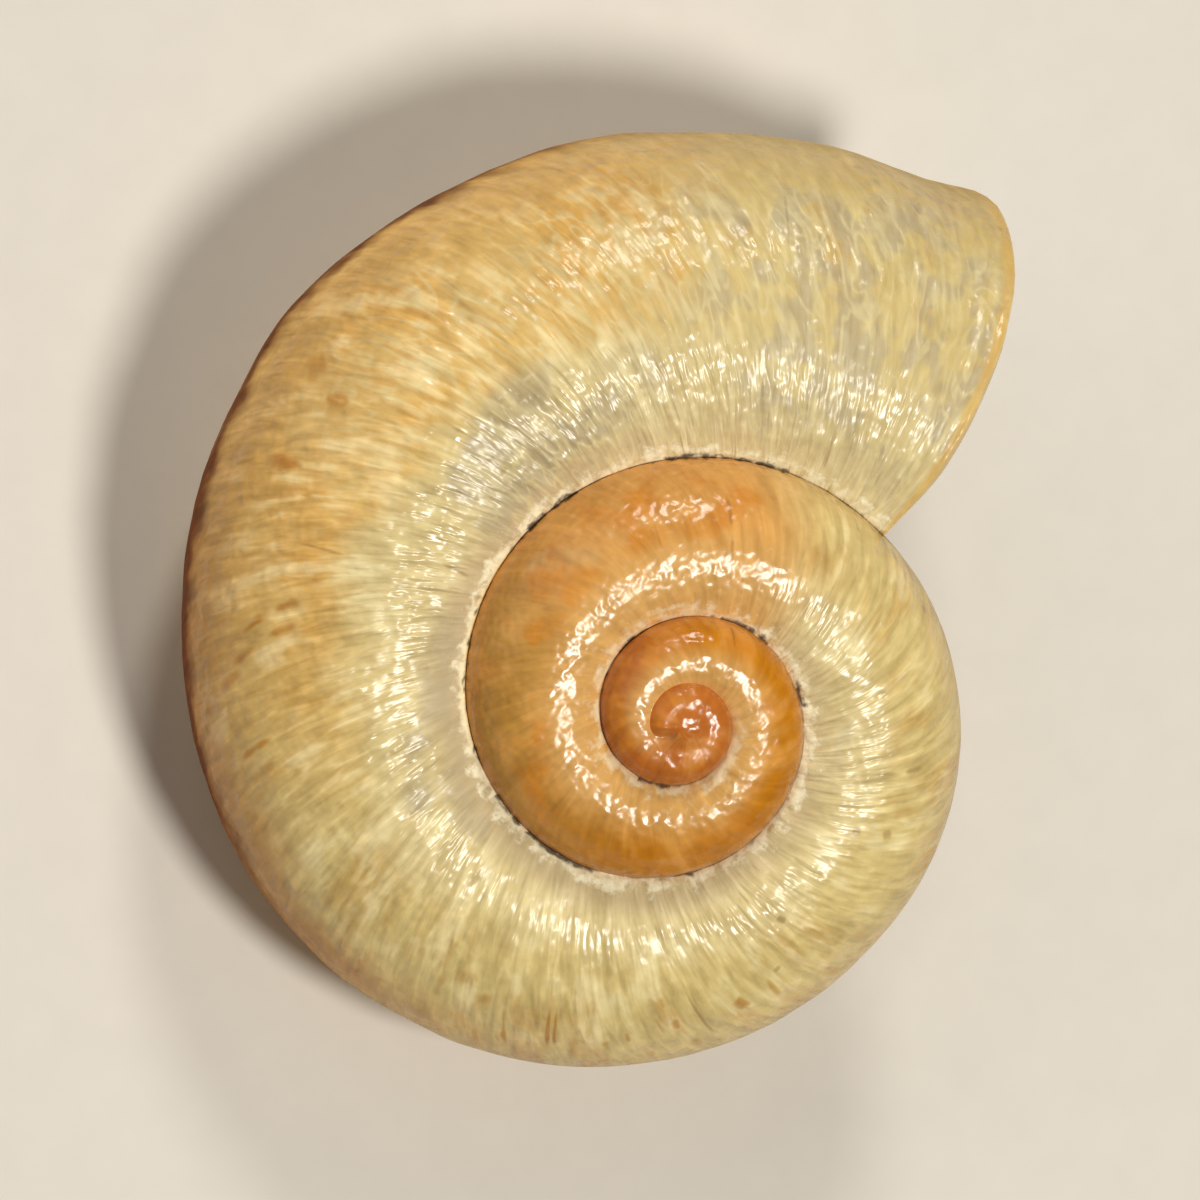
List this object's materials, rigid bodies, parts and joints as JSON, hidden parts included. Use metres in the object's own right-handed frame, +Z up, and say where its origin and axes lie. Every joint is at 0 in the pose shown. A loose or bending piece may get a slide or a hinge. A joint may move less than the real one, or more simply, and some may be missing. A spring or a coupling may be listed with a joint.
{
  "type": "land snail shell",
  "caption": "Low right-handed coiled land snail shell with round whorls, a deep seam, an open round mouth with a thin flared lip and an open navel underneath.",
  "frame": {"origin": "bottom centre of the shell's box, on the surface that the shell rests on", "axes": "+Z up as the shell rests, -Y is the side that the mouth faces, +X from the coil towards the mouth's outer lip"},
  "size_m": [0.0264, 0.0226, 0.0122],
  "materials": {
    "shell": "gloss"
  },
  "bodies": {
    "root": {"shell": "shell"}
  },
  "joints": []
}
